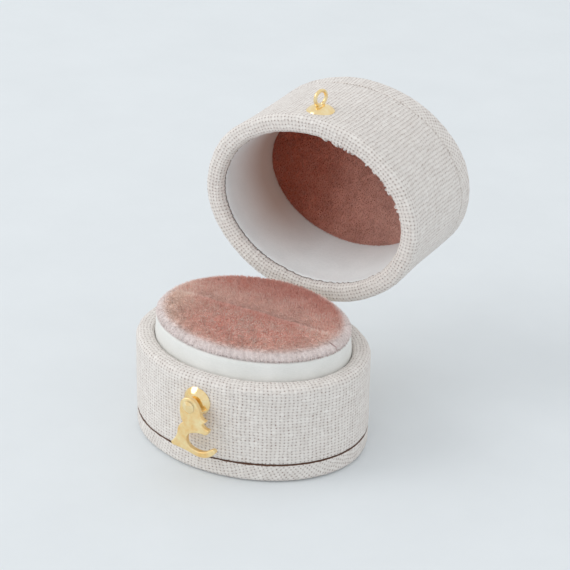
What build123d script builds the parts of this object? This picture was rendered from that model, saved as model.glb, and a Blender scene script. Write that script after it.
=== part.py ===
"""Oval ring box: a linen-covered base and lid, a velvet cushion with a slot, a stop hinge and a swing hook.

Millimetres.  +Z is up, -Y is the front with the clasp, +Y is the hinge side and +X is to the right.
The origin is the centre of the underside.  Everything is modelled with the lid closed, and the lid's
pieces are then turned back about the hinge pin to the open position, which is the position at rest.
"""
import os
from math import asin, cos, degrees, radians, sin, sqrt

from build123d import *

# Outer oval, the same for base and lid
LENGTH = 36.0
DEPTH = 29.5

# Covered boards
CLOTH = 0.35            # thickness of the linen with its glue
TURN_IN = 5.0           # cloth turned over onto a plate's hidden face
BASE_PLATE = 3.0
LID_PLATE = 3.4
BASE_RIM = 15.35        # height of the base's rim
RIM_GAP = 0.1           # between the rims when the box is shut
LID_WALL_HEIGHT = 15.1
BASE_WALL = 2.8         # wall thickness over cloth and board
LID_WALL = 2.6
RIM_ROUND_OUT = 0.95
RIM_ROUND_IN = 0.9
SEAM_ROUND = 0.35       # rounding beside the seam between wall and plate
PLATE_ROUND = 0.9       # rounding of a plate's outer face
BASE_TURN_DOWN = 6.0    # cloth turned down inside the base's rim
LID_TURN_UP = 1.3       # cloth turned up inside the lid's mouth

# Collar that stands up inside the base and guides the lid
COLLAR_RISE = 2.55      # above the base's rim
COLLAR_WALL = 1.2
COLLAR_TAPER = 0.2      # draw-in from the rim to the top
COLLAR_SKIN = 0.2
COLLAR_ROUND = 0.3
COLLAR_SKIN_LAP = 5.0   # how far the skin runs down inside the base

# Cushion
CARD = 0.8
RISER_CLEARANCE = 0.1
CUSHION_INSET = 2.95    # from the outer oval to the pad's widest line
CUSHION_DRAW_IN = 0.35  # how far the pad's foot is drawn in
CUSHION_CROWN = 2.6     # height at the crest
CUSHION_BULGE = 0.8     # height of the widest line
VELVET = 0.45
SLOT_GAP = 0.3          # between the two pads at the foot of the slot
SLOT_DROP = 1.0         # from the crest down to the lip of the slot
CREST_SHARE = 0.42      # where the crest lies, as a share of the way from the slot to the side
BROW_SHARE = 0.72       # where the side turns over
BROW_LEVEL = 0.74       # its height as a share of the crest's
END_SWELL = 0.45        # how much of the height is left at the pointed ends
STATION_SHARES = (0.975, 0.9, 0.74, 0.42)  # sections of a pad, as shares of its half length

# Lid's inside
LINER = 0.35
LINER_STRAIGHT = 3.5    # from the mouth to where the liner starts to draw in, clear of the collar
LINER_DRAW_IN = 0.9     # from there to the lid's plate
LID_PAD_CARD = 0.6
LID_PAD_VELVET = 0.9
LID_PAD_ROUND = 0.35
LID_PAD_CLEARANCE = 0.05

# Hinge: a small stop hinge let into the back
HINGE_BEHIND = 0.28     # pin behind the back face
HINGE_BELOW = 0.62      # pin below the base's rim
OPEN_ANGLE = 88.7       # how far the lid stands open on its stop
HINGE_WIDTH = 7.0
KNUCKLES = 5
KNUCKLE_GAP = 0.08
BARREL_RADIUS = 0.6
PIN_RADIUS = 0.25
PIN_CLEARANCE = 0.03
PIN_HEAD_RADIUS = 0.42
PIN_HEAD = 0.15
LEAF = 0.4
LEAF_HEIGHT = 5.0
LEAF_ROUND = 1.0
MORTISE_CLEARANCE = 0.02
BARREL_CLEARANCE = 0.1
STOP_LIP = 1.3          # lip behind the pin, under the open leaf
STOP_CLEARANCE = 0.04
LIP_FOOT = 0.42         # lip's underside below the pin
NAIL_RADIUS = 0.25
NAIL_HEAD_RADIUS = 0.55
NAIL_HEAD = 0.22
NAIL_LENGTH = 1.8
NAIL_SPREAD = 4.2
NAIL_CLEARANCE = 0.02

# Clasp: a swing hook on the base and an eye on the lid, each on its domed rosette
CLASP_X = -0.25         # clasp to the left of the middle
HOOK_HEIGHT = 11.65     # pivot above the underside
EYE_ABOVE_MOUTH = 3.75
ROSETTE_RADIUS = 2.15
ROSETTE_RISE = 1.0
HOOK_THICKNESS = 0.8
HOOK_STANDOFF = 1.5     # back of the hook, from the wall
HOOK_END_RADIUS = 1.45
HOOK_GRID = 1.0         # the rest of its outline is drawn on a grid of this size
RIVET_RADIUS = 0.45
RIVET_SHOULDER = 0.8
RIVET_HEAD_RADIUS = 0.95
RIVET_HEAD = 0.3
RIVET_DEPTH = 1.6       # into the wall
RIVET_CLEARANCE = 0.05
EYE_WIRE_RADIUS = 0.27
EYE_RING_RADIUS = 1.13  # to the wire's centre line
EYE_RING_HEIGHT = 2.0   # ring's centre above the wall
EYE_NECK = 1.28         # from there down to where the legs run straight
EYE_LEG_OFFSET = 0.36
EYE_DEPTH = 1.6         # legs into the wall
EYE_CLEARANCE = 0.02
LATCH_REACH = 1.85      # how far along the hook's arm the ring sits when latched

# Worked out
LID_MOUTH = BASE_RIM + RIM_GAP
LID_SEAM = LID_MOUTH + LID_WALL_HEIGHT
COLLAR_TOP = BASE_RIM + COLLAR_RISE
HINGE_Y = DEPTH / 2 + HINGE_BEHIND
HINGE_Z = BASE_RIM - HINGE_BELOW
HINGE_AXIS = Axis((0, HINGE_Y, HINGE_Z), (1, 0, 0))
LEAF_FACE = HINGE_Y - BARREL_RADIUS
MORTISE_FACE = LEAF_FACE - MORTISE_CLEARANCE
BASE_LEAF_TOP = HINGE_Z - BARREL_RADIUS - BARREL_CLEARANCE
LID_LEAF_FOOT = HINGE_Z + BARREL_RADIUS + BARREL_CLEARANCE
FRONT = -DEPTH / 2
EYE_HEIGHT = LID_MOUTH + EYE_ABOVE_MOUTH
HOOK_REACH = EYE_HEIGHT - HOOK_HEIGHT
LATCH_LEAN = degrees(asin(LATCH_REACH / HOOK_REACH))
HOOK_LATCHED = 180 - LATCH_LEAN


def prism(inset, low, high):
    """An upright oval prism whose side lies this far inside the outer oval."""
    return Pos(0, 0, low) * extrude(Ellipse(LENGTH / 2 - inset, DEPTH / 2 - inset), high - low)


def tapered(inset_low, inset_high, low, high):
    """An upright oval with a straight taper."""
    foot = Pos(0, 0, low) * Ellipse(LENGTH / 2 - inset_low, DEPTH / 2 - inset_low)
    head = Pos(0, 0, high) * Ellipse(LENGTH / 2 - inset_high, DEPTH / 2 - inset_high)
    return loft([foot, head], ruled=True)


def rims(solid, height):
    """The closed edges that lie at one height, the longest last."""
    level = [edge for edge in solid.edges() if abs(edge.center().Z - height) < 1e-4]
    return ShapeList(level).filter_by(lambda edge: edge.length > DEPTH).sort_by(Edge.length)


def rounded_rim(solid, height, out_round, in_round):
    """Round the outer and inner edges of a ring's top."""
    solid = fillet(rims(solid, height)[-1], out_round)
    return fillet(rims(solid, height)[0], in_round)


def flipped(solid):
    """Turn a piece over about the X axis."""
    return Rot(180, 0, 0) * solid


# --- covered boards -------------------------------------------------------------------------------

def covered_plate(thickness):
    """Board and cloth of an end plate: its outer face at height 0, its hidden face above."""
    board = prism(CLOTH, CLOTH, thickness - CLOTH)
    board = fillet(rims(board, CLOTH)[-1], PLATE_ROUND - CLOTH)
    cloth = prism(0, 0, thickness)
    cloth = fillet(rims(cloth, 0)[-1], PLATE_ROUND)
    cloth = fillet(rims(cloth, thickness)[-1], SEAM_ROUND)
    cloth = cloth - board - prism(TURN_IN, thickness - CLOTH, thickness)
    return board, cloth


def covered_wall(wall, height, turn_in):
    """Board and cloth of an oval wall: its seam at height 0, its rounded rim at the top."""
    board = prism(CLOTH, CLOTH, height - CLOTH) - prism(wall - CLOTH, CLOTH, height - CLOTH)
    board = rounded_rim(board, height - CLOTH, RIM_ROUND_OUT - CLOTH, RIM_ROUND_IN - CLOTH)
    cloth = prism(0, 0, height) - prism(wall, 0, height)
    cloth = rounded_rim(cloth, height, RIM_ROUND_OUT, RIM_ROUND_IN)
    cloth = fillet(rims(cloth, 0)[-1], SEAM_ROUND)
    bare = prism(wall - CLOTH, CLOTH, height - turn_in) - prism(wall, CLOTH, height - turn_in)
    return board, cloth - board - bare


# --- collar and cushion ---------------------------------------------------------------------------

def collar():
    """Board ring that stands on the base plate, and the smooth skin over its upper part."""
    skin_foot = BASE_RIM - COLLAR_SKIN_LAP
    outer = BASE_WALL
    inner = BASE_WALL + COLLAR_WALL
    board_top = COLLAR_TOP - COLLAR_SKIN
    core = prism(outer + COLLAR_SKIN, BASE_PLATE, BASE_RIM)
    tip = outer + COLLAR_SKIN + COLLAR_TAPER
    core += tapered(outer + COLLAR_SKIN, tip, BASE_RIM, board_top)
    board = core - prism(inner, BASE_PLATE, board_top)
    skin = prism(outer, skin_foot, BASE_RIM) + tapered(outer, outer + COLLAR_TAPER, BASE_RIM, COLLAR_TOP)
    skin = fillet(rims(skin, COLLAR_TOP)[-1], COLLAR_ROUND)
    skin = skin - core - prism(inner, skin_foot, COLLAR_TOP)
    return board, skin


def pad_section(x, side, skin):
    """Cross-section of a pad at one station: flat foot, drawn-in side, crown and rolled slot lip."""
    across = sqrt(1 - (x / (LENGTH / 2 - CUSHION_INSET)) ** 2)
    reach = (DEPTH / 2 - CUSHION_INSET) * across
    swell = END_SWELL + (1 - END_SWELL) * across
    widest = reach - skin
    foot = widest - CUSHION_DRAW_IN * swell
    crest = CUSHION_CROWN * swell - skin
    lip = (CUSHION_CROWN - SLOT_DROP) * swell - skin
    slot = SLOT_GAP / 2 + skin
    shoulder = slot + BROW_SHARE * (widest - slot)
    summit = slot + CREST_SHARE * (widest - slot)
    points = {
        "heel": (slot, 0), "toe": (foot, 0), "side": (widest, CUSHION_BULGE * swell),
        "brow": (shoulder, BROW_LEVEL * crest), "crest": (summit, crest), "lip": (slot, lip),
    }
    at = {name: Vector(x, side * y, COLLAR_TOP + z) for name, (y, z) in points.items()}
    outline = [
        Edge.make_line(at["heel"], at["toe"]),
        Edge.make_three_point_arc(at["toe"], at["side"], at["brow"]),
        Edge.make_three_point_arc(at["brow"], at["crest"], at["lip"]),
        Edge.make_line(at["lip"], at["heel"]),
    ]
    return Face(Wire(outline))


def pad(side, skin):
    """One half of the cushion, lofted from end to end."""
    half = LENGTH / 2 - CUSHION_INSET - skin
    stations = [-half * share for share in STATION_SHARES] + [0]
    stations += [half * share for share in reversed(STATION_SHARES)]
    return loft([pad_section(x, side, skin) for x in stations])


def cushion(side):
    """Foam core and velvet cover of one half, open underneath."""
    core = pad(side, VELVET)
    return core, pad(side, 0) - core


# --- hinge ----------------------------------------------------------------------------------------

def leaf_plate(low, high, round_at_top):
    """The flat of a hinge leaf, with two rounded corners away from the barrel."""
    middle = (low + high) / 2
    plate = Pos(0, LEAF_FACE + LEAF / 2, middle) * Box(HINGE_WIDTH, LEAF, high - low)
    side = plate.edges().filter_by(Axis.Y).group_by(Axis.Z)[-1 if round_at_top else 0]
    return fillet(side, LEAF_ROUND)


def knuckle(index):
    """One knuckle of the barrel and the tab that ties it to its leaf."""
    pitch = HINGE_WIDTH / KNUCKLES
    middle = (index - (KNUCKLES - 1) / 2) * pitch
    width = pitch - KNUCKLE_GAP
    barrel = Pos(middle, HINGE_Y, HINGE_Z) * Rot(0, 90, 0) * Cylinder(BARREL_RADIUS, width)
    on_lid = index % 2 == 1
    end = LID_LEAF_FOOT if on_lid else BASE_LEAF_TOP
    tab = Pos(middle, LEAF_FACE + LEAF / 2, (HINGE_Z + end) / 2) * Box(width, LEAF, abs(end - HINGE_Z))
    solid = barrel + tab
    if not on_lid:
        lip_top = HINGE_Z + BARREL_RADIUS - LEAF - STOP_CLEARANCE
        lip_low = HINGE_Z - LIP_FOOT
        lip = Box(width, STOP_LIP, lip_top - lip_low)
        solid += Pos(middle, HINGE_Y + STOP_LIP / 2, (lip_top + lip_low) / 2) * lip
    return solid


def hinge_leaf(on_lid):
    """A leaf with its knuckles, bored for the pin and drilled for the nails."""
    if on_lid:
        leaf = leaf_plate(LID_LEAF_FOOT, LID_LEAF_FOOT + LEAF_HEIGHT, True)
    else:
        leaf = leaf_plate(BASE_LEAF_TOP - LEAF_HEIGHT, BASE_LEAF_TOP, False)
    for index in range(KNUCKLES):
        if (index % 2 == 1) == on_lid:
            leaf += knuckle(index)
    bore = Cylinder(PIN_RADIUS + PIN_CLEARANCE, 2 * HINGE_WIDTH)
    leaf -= Pos(0, HINGE_Y, HINGE_Z) * Rot(0, 90, 0) * bore
    return leaf - nails(on_lid, NAIL_CLEARANCE)


def nail(clearance):
    """A nail along +Y with its head outwards, the head's seat at y = 0."""
    length = NAIL_LENGTH + LEAF + clearance
    shank = Pos(0, -length / 2, 0) * Rot(90, 0, 0) * Cylinder(NAIL_RADIUS + clearance, length)
    if clearance:
        return shank
    return shank + Rot(-90, 0, 0) * dome(NAIL_HEAD_RADIUS, NAIL_HEAD)


def nails(on_lid, clearance=0.0):
    """The pair of nails that holds a leaf."""
    if on_lid:
        height = LID_LEAF_FOOT + LEAF_HEIGHT / 2
    else:
        height = BASE_LEAF_TOP - LEAF_HEIGHT / 2
    places = [Pos(side * NAIL_SPREAD / 2, LEAF_FACE + LEAF, height) for side in (-1, 1)]
    return [place * nail(clearance) for place in places]


def mortise(on_lid):
    """What is cut from the back of a wall to let the leaf in."""
    low = LID_MOUTH - RIM_GAP if on_lid else BASE_LEAF_TOP - LEAF_HEIGHT - MORTISE_CLEARANCE
    high = LID_LEAF_FOOT + LEAF_HEIGHT + MORTISE_CLEARANCE if on_lid else BASE_RIM
    width = HINGE_WIDTH + 2 * MORTISE_CLEARANCE
    return Pos(0, MORTISE_FACE + LEAF, (low + high) / 2) * Box(width, 2 * LEAF, high - low)


def hinge_pin():
    """Pin with peened ends."""
    pin = Cylinder(PIN_RADIUS, HINGE_WIDTH)
    for end in (-1, 1):
        pin += Pos(0, 0, end * (HINGE_WIDTH + PIN_HEAD) / 2) * Cylinder(PIN_HEAD_RADIUS, PIN_HEAD)
    return Pos(0, HINGE_Y, HINGE_Z) * Rot(0, 90, 0) * pin


# --- clasp ----------------------------------------------------------------------------------------

def dome(radius, rise, skirt=0.0):
    """A low dome about Z whose rim is at z = 0, over a straight skirt."""
    ball = (radius ** 2 + rise ** 2) / (2 * rise)
    half = asin(radius / ball) / 2
    waist = (ball * sin(half), rise - ball + ball * cos(half))
    arc = ThreePointArc((radius, 0), waist, (0, rise))
    rim = Line((radius, -skirt), (radius, 0)) if skirt else None
    foot = Line((0, -skirt), (radius, -skirt))
    spine = Line((0, rise), (0, -skirt))
    edges = [edge for edge in (foot, rim, arc, spine) if edge]
    profile = Plane.XZ * make_face(edges)
    return revolve(profile, Axis.Z)


def rosette(height):
    """Domed disc that fits the curve of the wall, with its centre at this height."""
    reach = ROSETTE_RADIUS + abs(CLASP_X)
    sag = DEPTH / 2 * (1 - sqrt(1 - (reach / (LENGTH / 2)) ** 2))
    solid = Pos(CLASP_X, FRONT, height) * Rot(90, 0, 0) * dome(ROSETTE_RADIUS, ROSETTE_RISE, sag)
    return solid - prism(0, height - 2 * ROSETTE_RADIUS, height + 2 * ROSETTE_RADIUS)


def rod(radius, start, end, height):
    """A round bar along Y between two distances in front of the wall."""
    bar = Cylinder(radius, end - start)
    return Pos(CLASP_X, FRONT - (start + end) / 2, height) * Rot(90, 0, 0) * bar


def rivet():
    """Pivot rivet: shank into the wall, shoulder behind the hook, low domed head in front."""
    hook_front = HOOK_STANDOFF + HOOK_THICKNESS
    seat = hook_front + RIVET_CLEARANCE
    shank = rod(RIVET_RADIUS, -RIVET_DEPTH, seat, HOOK_HEIGHT)
    shoulder = rod(RIVET_SHOULDER, ROSETTE_RISE, HOOK_STANDOFF - RIVET_CLEARANCE, HOOK_HEIGHT)
    place = Pos(CLASP_X, FRONT - seat, HOOK_HEIGHT) * Rot(90, 0, 0)
    head = place * dome(RIVET_HEAD_RADIUS, RIVET_HEAD)
    return shank + shoulder + head


def rivet_hole():
    """Hole for the rivet through rosette, cloth and board."""
    return rod(RIVET_RADIUS + EYE_CLEARANCE, -RIVET_DEPTH, 2 * ROSETTE_RISE, HOOK_HEIGHT)


def on_grid(across, up):
    """A point of the hook's drawing."""
    return (across * HOOK_GRID, up * HOOK_GRID)


def hook_outline():
    """The stamped hook's outline, x to the right and y up, with the pivot at the origin."""
    shoulder = (HOOK_END_RADIUS * cos(radians(25)), HOOK_END_RADIUS * sin(radians(25)))
    flank = (-HOOK_END_RADIUS * cos(radians(8)), -HOOK_END_RADIUS * sin(radians(8)))
    spur = on_grid(2.85, -1.6)
    notch = on_grid(2.12, -2.3)
    barb = on_grid(3.3, -2.85)
    barb_foot = on_grid(2.75, -3.75)
    throat = on_grid(0.45, -4.1)
    arm_root = on_grid(0.82, -6.6)
    arm_end = on_grid(3.0, -6.4)
    tip_in = on_grid(3.85, -5.8)
    tip_out = on_grid(4.4, -6.25)
    sole = on_grid(1.0, -7.55)
    heel = on_grid(-2.45, -6.95)
    heel_tip = on_grid(-2.95, -6.4)
    calf = on_grid(-1.9, -4.2)
    nick = on_grid(-0.98, -2.72)
    waist = on_grid(1.97, -0.9)
    return [
        ThreePointArc(flank, (0, HOOK_END_RADIUS), shoulder),
        ThreePointArc(shoulder, on_grid(1.75, -0.15), waist),
        ThreePointArc(waist, on_grid(2.3, -1.37), spur),
        Line(spur, notch),
        ThreePointArc(notch, on_grid(2.6, -2.65), barb),
        ThreePointArc(barb, on_grid(3.22, -3.4), barb_foot),
        ThreePointArc(barb_foot, on_grid(1.6, -3.77), throat),
        ThreePointArc(throat, on_grid(-0.37, -5.35), arm_root),
        ThreePointArc(arm_root, on_grid(1.9, -6.75), arm_end),
        Line(arm_end, tip_in),
        ThreePointArc(tip_in, on_grid(4.25, -5.8), tip_out),
        ThreePointArc(tip_out, on_grid(3.2, -7.3), sole),
        ThreePointArc(sole, on_grid(-0.7, -7.15), heel),
        ThreePointArc(heel, on_grid(-2.9, -6.75), heel_tip),
        ThreePointArc(heel_tip, on_grid(-2.2, -5.4), calf),
        ThreePointArc(calf, on_grid(-1.6, -3.35), nick),
        ThreePointArc(nick, on_grid(-1.42, -1.6), flank),
    ]


def hook():
    """Hook plate with its hole for the rivet."""
    profile = make_face(Wire(Curve() + hook_outline()).edges())
    plate = extrude(profile, HOOK_THICKNESS)
    plate -= Cylinder(RIVET_RADIUS + RIVET_CLEARANCE, 3 * HOOK_THICKNESS)
    return Pos(CLASP_X, FRONT - HOOK_STANDOFF, HOOK_HEIGHT) * Rot(90, 0, 0) * plate


def eye_path():
    """Centre line of the eye: a leg up, round the ring and down again, x across and y outwards."""
    bend_height = EYE_RING_HEIGHT - EYE_NECK
    spread = EYE_RING_RADIUS ** 2 - EYE_LEG_OFFSET ** 2 - EYE_NECK ** 2
    bend = -spread / (2 * (EYE_RING_RADIUS - EYE_LEG_OFFSET))
    span = EYE_RING_RADIUS + bend
    turn = asin(EYE_NECK / span)
    joint = (EYE_LEG_OFFSET + bend * (1 - cos(turn)), bend_height + bend * sin(turn))
    flare = (EYE_LEG_OFFSET + bend * (1 - cos(turn / 2)), bend_height + bend * sin(turn / 2))
    left = [
        Line((-EYE_LEG_OFFSET, -EYE_DEPTH), (-EYE_LEG_OFFSET, bend_height)),
        ThreePointArc((-EYE_LEG_OFFSET, bend_height), (-flare[0], flare[1]), (-joint[0], joint[1])),
    ]
    crown = (0, EYE_RING_HEIGHT + EYE_RING_RADIUS)
    left_side = (-EYE_RING_RADIUS, EYE_RING_HEIGHT)
    right_side = (EYE_RING_RADIUS, EYE_RING_HEIGHT)
    ring = [
        ThreePointArc((-joint[0], joint[1]), left_side, crown),
        ThreePointArc(crown, right_side, joint),
    ]
    right = [
        ThreePointArc(joint, flare, (EYE_LEG_OFFSET, bend_height)),
        Line((EYE_LEG_OFFSET, bend_height), (EYE_LEG_OFFSET, -EYE_DEPTH)),
    ]
    return Wire(Curve() + (left + ring + right))


def eye(clearance=0.0):
    """Eye of bent wire, turned so that the latched hook's arm passes square through it."""
    start = Plane(origin=(-EYE_LEG_OFFSET, -EYE_DEPTH, 0), z_dir=(0, 1, 0))
    wire = sweep(start * Circle(EYE_WIRE_RADIUS + clearance), path=eye_path())
    turned = Rot(90, 0, 0) * Rot(0, 0, 90 - LATCH_LEAN) * Rot(90, 0, 0) * wire
    return Pos(CLASP_X, FRONT, EYE_HEIGHT) * turned


# --- assembly -------------------------------------------------------------------------------------

def opened(solid):
    """Turn a piece of the closed lid back to the open position."""
    return solid.rotate(HINGE_AXIS, -OPEN_ANGLE)


def cut(solid, tools):
    """Take each tool out of a solid."""
    for tool in tools:
        solid = solid - tool
    return solid


def base_nodes():
    """Pieces that stay with the base."""
    plate_board, plate_cloth = covered_plate(BASE_PLATE)
    wall_board, wall_cloth = covered_wall(BASE_WALL, BASE_RIM - BASE_PLATE, BASE_TURN_DOWN)
    fixings = [mortise(False), rivet_hole()] + nails(False, NAIL_CLEARANCE)
    collar_board, collar_skin = collar()
    inside = BASE_WALL + COLLAR_WALL + RISER_CLEARANCE
    front_foam, front_velvet = cushion(-1)
    rear_foam, rear_velvet = cushion(1)
    return {
        "base_plate_board": plate_board,
        "base_plate_linen": plate_cloth,
        "base_wall_board": cut(Pos(0, 0, BASE_PLATE) * wall_board, fixings),
        "base_wall_linen": cut(Pos(0, 0, BASE_PLATE) * wall_cloth, fixings),
        "collar_board": collar_board,
        "collar_lining": collar_skin,
        "cushion_riser": prism(inside, BASE_PLATE, COLLAR_TOP - CARD),
        "cushion_card": prism(inside, COLLAR_TOP - CARD, COLLAR_TOP),
        "cushion_foam_front": front_foam,
        "cushion_velvet_front": front_velvet,
        "cushion_foam_rear": rear_foam,
        "cushion_velvet_rear": rear_velvet,
        "hinge_leaf_base": hinge_leaf(False),
        "hinge_pin": hinge_pin(),
        "hinge_nails_base": Compound(nails(False)),
        "hook_rosette": rosette(HOOK_HEIGHT) - rivet_hole(),
        "hook_rivet": rivet(),
    }


def lid_nodes():
    """Pieces that turn with the lid, in the closed position."""
    plate_board, plate_cloth = covered_plate(LID_PLATE)
    wall_board, wall_cloth = covered_wall(LID_WALL, LID_WALL_HEIGHT, LID_TURN_UP)
    fixings = [mortise(True), eye(EYE_CLEARANCE)] + nails(True, NAIL_CLEARANCE)
    pad_inset = LID_WALL + LINER_DRAW_IN + LID_PAD_CLEARANCE
    card_low = LID_SEAM - LID_PAD_CARD
    velvet_low = card_low - LID_PAD_VELVET
    lining_low = LID_MOUTH + LID_TURN_UP
    lining_bend = LID_MOUTH + LINER_STRAIGHT
    lining_inset = LID_WALL - LINER
    hollow = prism(LID_WALL, lining_low, lining_bend)
    hollow += tapered(LID_WALL, LID_WALL + LINER_DRAW_IN, lining_bend, LID_SEAM)
    lining = prism(lining_inset, lining_low, LID_SEAM) - hollow
    pad_velvet = prism(pad_inset, velvet_low, card_low)
    pad_velvet = fillet(rims(pad_velvet, velvet_low)[-1], LID_PAD_ROUND)
    top = Pos(0, 0, LID_SEAM + LID_PLATE)
    seam = Pos(0, 0, LID_SEAM)
    board = cut(seam * flipped(wall_board), fixings)
    linen = cut(seam * flipped(wall_cloth), fixings)
    return {
        "lid_plate_board": top * flipped(plate_board),
        "lid_plate_linen": top * flipped(plate_cloth),
        "lid_wall_board": board - prism(lining_inset, lining_low, LID_SEAM),
        "lid_wall_linen": linen - prism(lining_inset, lining_low, LID_SEAM),
        "lid_lining": lining,
        "lid_pad_card": prism(pad_inset, card_low, LID_SEAM),
        "lid_pad_velvet": pad_velvet,
        "hinge_leaf_lid": hinge_leaf(True),
        "hinge_nails_lid": Compound(nails(True)),
        "eye_rosette": rosette(EYE_HEIGHT) - eye(EYE_CLEARANCE),
        "eye_loop": eye(),
    }


def main():
    os.makedirs("parts", exist_ok=True)
    nodes = base_nodes()
    nodes.update({name: opened(solid) for name, solid in lid_nodes().items()})
    nodes["clasp_hook"] = hook()
    for name, solid in nodes.items():
        export_step(solid, f"parts/{name}.step")
    print(f"{len(nodes)} nodes; hinge pin at y {HINGE_Y:.2f}, z {HINGE_Z:.2f}")
    print(f"hook pivot at z {HOOK_HEIGHT:.2f}, latched at {HOOK_LATCHED:.1f} degrees")


main()
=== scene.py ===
"""Looks for the oval ring box: woven linen skins, satin collar and lining, velvet pads with real pile, gold clasp."""

from math import atan2, cos, hypot, pi, radians, sin, sqrt

import bmesh
import bpy
import numpy as np
from mathutils import Matrix, Vector


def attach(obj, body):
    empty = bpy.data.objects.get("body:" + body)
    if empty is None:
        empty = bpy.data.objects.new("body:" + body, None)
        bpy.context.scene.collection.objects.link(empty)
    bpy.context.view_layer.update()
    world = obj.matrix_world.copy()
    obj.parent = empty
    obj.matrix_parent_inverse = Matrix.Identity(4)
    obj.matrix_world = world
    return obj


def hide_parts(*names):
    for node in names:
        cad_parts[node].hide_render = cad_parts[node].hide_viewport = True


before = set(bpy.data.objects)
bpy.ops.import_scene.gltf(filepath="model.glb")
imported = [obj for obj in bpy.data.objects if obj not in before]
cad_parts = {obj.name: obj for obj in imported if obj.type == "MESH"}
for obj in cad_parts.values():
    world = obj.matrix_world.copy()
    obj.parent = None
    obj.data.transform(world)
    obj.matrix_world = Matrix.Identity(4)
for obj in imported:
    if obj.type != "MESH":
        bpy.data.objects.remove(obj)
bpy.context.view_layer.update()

# Lengths are in millimetres, and heights are those of the closed box.
MM = 0.001
A = 18.0               # outer semi-axes of the oval
B = 14.75
FRONT = -B
PLATE = 3.0            # end plates, with the rounding of their outer edge
LID_PLATE = 3.4
PLATE_ROUND = 0.9
RIM = 15.35            # top of the base's wall
MOUTH = 15.45          # foot of the lid's wall
SEAM = 30.55           # between the lid's wall and its plate
TOP = 33.95
LID_H = SEAM - MOUTH
WALL = 2.8             # wall thicknesses with their cloth
LID_WALL = 2.6
CLOTH = 0.35
COLLAR = 1.2
COLLAR_TOP = 17.9
HINGE_Y = 15.03
HINGE_Z = 14.73
MORTISE_HALF = 3.62    # recess of the hinge's leaves, and its foot and top
MORTISE_LOW = 8.85
MORTISE_HIGH = 20.5
OPEN = radians(88.7)
HOOK_X = -0.25
HOOK_Z = 11.65
HOOK_STANDOFF = 1.5
HOOK_THICKNESS = 0.8
YARN_U = 0.61          # weave pitch along and across a wall
YARN_V = 0.49
FACE_HOLE = 14.4       # inset at which the swept face of a plate ends and its cap begins
PAD_A = 14.85          # semi-axes of the cushion
PAD_B = 11.6
FRAYED = 0.75          # last of the turned cloth inside the lid's mouth
PANEL_LOW = 29.1       # velvet panel in the lid
PANEL_HIGH = 29.9


# --- geometry helpers -----------------------------------------------------------------------------

def open_lid(p):
    """Points of the closed lid, turned back about the hinge pin."""
    q = p.copy()
    y, z = p[..., 1] - HINGE_Y, p[..., 2] - HINGE_Z
    q[..., 1] = HINGE_Y + y * cos(OPEN) + z * sin(OPEN)
    q[..., 2] = HINGE_Z - y * sin(OPEN) + z * cos(OPEN)
    return q


def closed_height(p):
    """Height that points of the open lid have when it is shut."""
    return HINGE_Z + (p[..., 1] - HINGE_Y) * sin(OPEN) + (p[..., 2] - HINGE_Z) * cos(OPEN)


def perimeter_table(n=4000):
    """Angles of the outer oval and the length of its edge up to each."""
    t = np.linspace(0, 2 * pi, n + 1)
    x, y = A * np.cos(t), B * np.sin(t)
    s = np.concatenate([[0], np.cumsum(np.hypot(np.diff(x), np.diff(y)))])
    return t, s


T_TABLE, S_TABLE = perimeter_table()
PERIMETER = S_TABLE[-1]


def ring_angles(n):
    """n angles, evenly spaced along the outer oval, starting at the back so that the seam is hidden."""
    s = np.linspace(0, PERIMETER, n, endpoint=False)
    start = np.interp(pi / 2, T_TABLE, S_TABLE)
    return np.interp((s + start) % PERIMETER, S_TABLE, T_TABLE), s


def arc_points(centre, radius, a0, a1, n):
    """n points of an arc from angle a0 to a1, in degrees."""
    t = np.radians(np.linspace(a0, a1, n))
    return [(centre[0] + radius * cos(v), centre[1] + radius * sin(v)) for v in t]


def ripple(seed, count, lowest, highest, scale):
    """Sum of sines that closes round the oval; returns f(share, along)."""
    rng = np.random.default_rng(seed)
    k = rng.integers(lowest, highest, count)
    m = rng.uniform(-1.2, 1.2, count)
    ph = rng.uniform(0, 2 * pi, count)
    w = scale / sqrt(count)

    def f(share, along):
        total = 0
        for a, b, c in zip(k, m, ph):
            total = total + np.sin(2 * pi * a * share + b * along + c)
        return w * total
    return f


def make_mesh(name, verts, faces, uvs=None):
    """Mesh object in metres from points in millimetres. faces is an (n, 3 or 4) array; uvs go per corner."""
    me = bpy.data.meshes.new(name)
    faces = np.asarray(faces)
    n, k = faces.shape
    me.vertices.add(len(verts))
    me.vertices.foreach_set("co", (np.asarray(verts, float) * MM).astype(np.float32).ravel())
    me.loops.add(n * k)
    me.loops.foreach_set("vertex_index", faces.astype(np.int32).ravel())
    me.polygons.add(n)
    me.polygons.foreach_set("loop_start", np.arange(0, n * k, k, dtype=np.int32))
    me.update(calc_edges=True)
    if uvs is not None:
        layer = me.uv_layers.new(name="weave")
        layer.data.foreach_set("uv", np.asarray(uvs, np.float32).ravel())
    me.polygons.foreach_set("use_smooth", np.full(n, True))
    me.validate()
    ob = bpy.data.objects.new(name, me)
    bpy.context.scene.collection.objects.link(ob)
    return ob


def coordinates(ob):
    """A mesh's points, in millimetres."""
    co = np.empty(len(ob.data.vertices) * 3, np.float32)
    ob.data.vertices.foreach_get("co", co)
    return co.reshape(-1, 3).astype(float) / MM


def add_attribute(ob, name, values):
    """One number per point, which the materials read by name."""
    attribute = ob.data.attributes.new(name, "FLOAT", "POINT")
    attribute.data.foreach_set("value", np.asarray(values, np.float32).ravel())


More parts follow.
